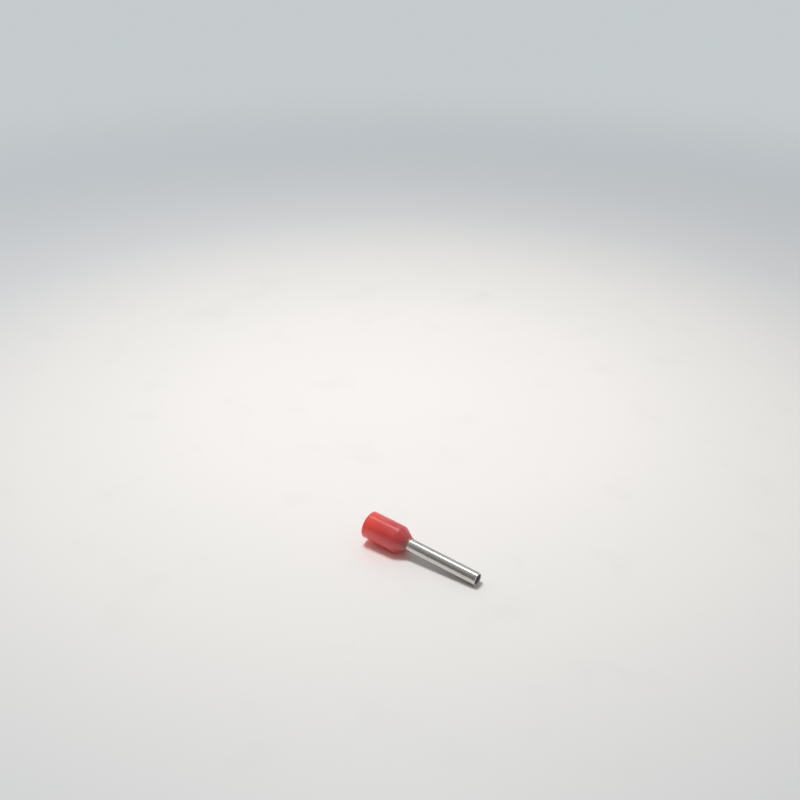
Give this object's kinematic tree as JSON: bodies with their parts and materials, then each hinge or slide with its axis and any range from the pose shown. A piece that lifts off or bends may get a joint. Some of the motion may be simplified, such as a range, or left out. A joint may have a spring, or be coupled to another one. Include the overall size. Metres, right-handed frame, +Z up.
{
  "type": "wire ferrule",
  "caption": "Insulated wire end ferrule: a thin tinned tube with a flared funnel, held in a translucent red plastic collar that guides a stranded wire in.",
  "frame": {"origin": "on the table, under the middle of the ferrule's box as it lies at rest", "axes": "+Z up, +X towards the tube's free end, whose axis dips by 4.6 degrees, +Y across it"},
  "size_m": [0.0164, 0.0036, 0.0039],
  "materials": {
    "tinned_copper": "polished",
    "red_plastic": "gloss"
  },
  "bodies": {
    "root": {"tube": "tinned_copper", "collar": "red_plastic"}
  },
  "joints": []
}
